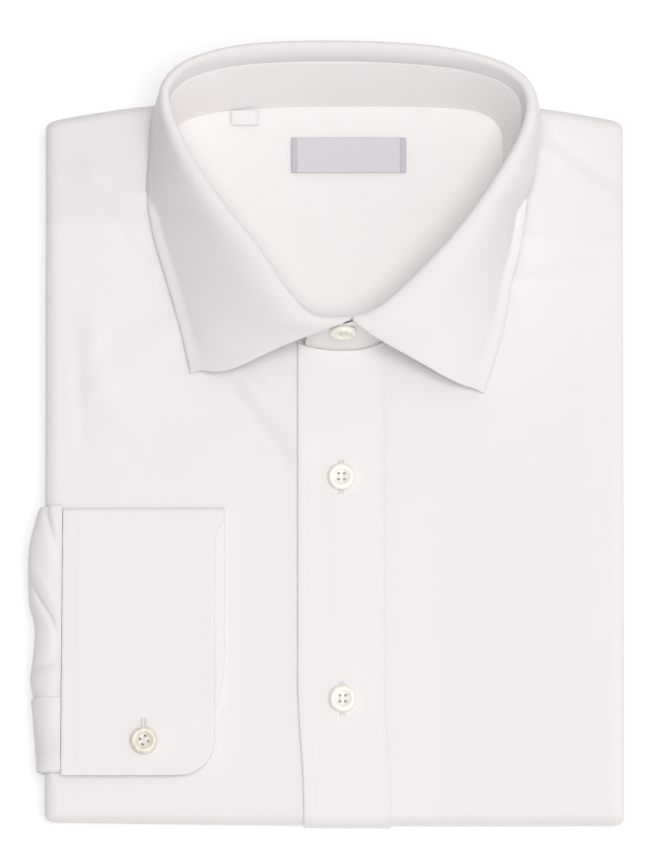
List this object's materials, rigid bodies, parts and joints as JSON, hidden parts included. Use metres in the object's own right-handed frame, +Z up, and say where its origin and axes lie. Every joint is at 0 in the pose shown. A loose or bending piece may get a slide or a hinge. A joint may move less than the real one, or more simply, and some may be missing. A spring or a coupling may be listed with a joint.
{
  "type": "long sleeve dress shirt",
  "caption": "White long sleeve dress shirt with a turned-down collar, buttoned at the neck and folded flat, one cuff brought round to the front.",
  "frame": {"origin": "on the flat underside that the folded shirt rests on, near the middle of its folded body", "axes": "+X to the wearer's left side, +Y from the hem fold to the collar, +Z up, away from what the shirt lies on"},
  "size_m": [0.2512, 0.3323, 0.0528],
  "materials": {
    "white_poplin": "fine plain weave, matt",
    "inner_poplin": "fine plain weave, matt",
    "label_satin": "woven satin",
    "tag_satin": "woven satin",
    "button_shell": "polished shell"
  },
  "bodies": {
    "root": {"back": "inner_poplin", "button_collar": "button_shell", "button_cuff": "button_shell", "button_front_1": "button_shell", "button_front_2": "button_shell", "collar_leaf": "white_poplin", "collar_stand": "white_poplin", "cuff_right": "white_poplin", "folded_layers": "inner_poplin", "front_left": "white_poplin", "front_right": "white_poplin", "neck_label": "label_satin", "placket": "white_poplin", "size_tag": "tag_satin", "sleeve_placket": "white_poplin", "sleeve_right": "white_poplin", "yoke": "white_poplin", "yoke_lining": "inner_poplin"}
  },
  "joints": []
}
